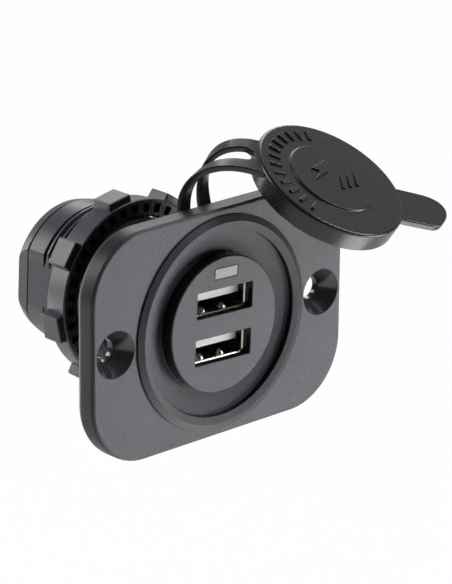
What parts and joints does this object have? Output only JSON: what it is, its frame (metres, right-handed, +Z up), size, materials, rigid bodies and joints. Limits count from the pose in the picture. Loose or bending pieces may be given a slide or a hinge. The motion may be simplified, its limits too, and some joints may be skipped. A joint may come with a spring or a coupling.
{
  "type": "dual usb socket",
  "caption": "Panel charging socket: round flanged housing in a rounded screw-down plate, with ring nut, rear blade terminals and an open rubber cap on a slotted strap.",
  "frame": {"origin": "on the socket's axis, in the plane of the mounting plate's back face", "axes": "+Y out of the back along the barrel, so the sockets face -Y; +X to the right and +Z up as seen from the front"},
  "size_m": [0.0691, 0.0679, 0.0522],
  "materials": {
    "plate_plastic": "satin black with a fine grain",
    "housing_plastic": "satin black with a fine grain",
    "cover_plastic": "satin black",
    "nut_plastic": "satin black",
    "cap_rubber": "smooth satin black",
    "plated_steel": "nickel plated",
    "tongue_plastic": "white",
    "gold_contact": "gold plated",
    "lens_plastic": "frosted pale grey",
    "led_body": "white",
    "board_laminate": "green solder mask",
    "ferrite": "matt dark grey",
    "can_aluminium": "satin",
    "chip_resin": "matt black",
    "tinned_brass": "tin plated"
  },
  "bodies": {
    "root": {"mounting_plate": "plate_plastic", "socket_housing": "housing_plastic", "rear_cover": "cover_plastic", "ring_nut": "nut_plastic", "rubber_cap": "cap_rubber", "usb_shell_upper": "plated_steel", "usb_shell_lower": "plated_steel", "usb_tongue_upper": "tongue_plastic", "usb_tongue_lower": "tongue_plastic", "indicator_lens": "lens_plastic", "indicator_led": "led_body", "port_board": "board_laminate", "power_board": "board_laminate", "power_inductor": "ferrite", "input_capacitor": "can_aluminium", "output_capacitor": "can_aluminium", "regulator_chip": "chip_resin", "rectifier_diode": "chip_resin", "positive_terminal": "tinned_brass", "negative_terminal": "tinned_brass", "contact_upper_1": "gold_contact", "contact_upper_2": "gold_contact", "contact_upper_3": "gold_contact", "contact_upper_4": "gold_contact", "contact_lower_1": "gold_contact", "contact_lower_2": "gold_contact", "contact_lower_3": "gold_contact", "contact_lower_4": "gold_contact"}
  },
  "joints": []
}
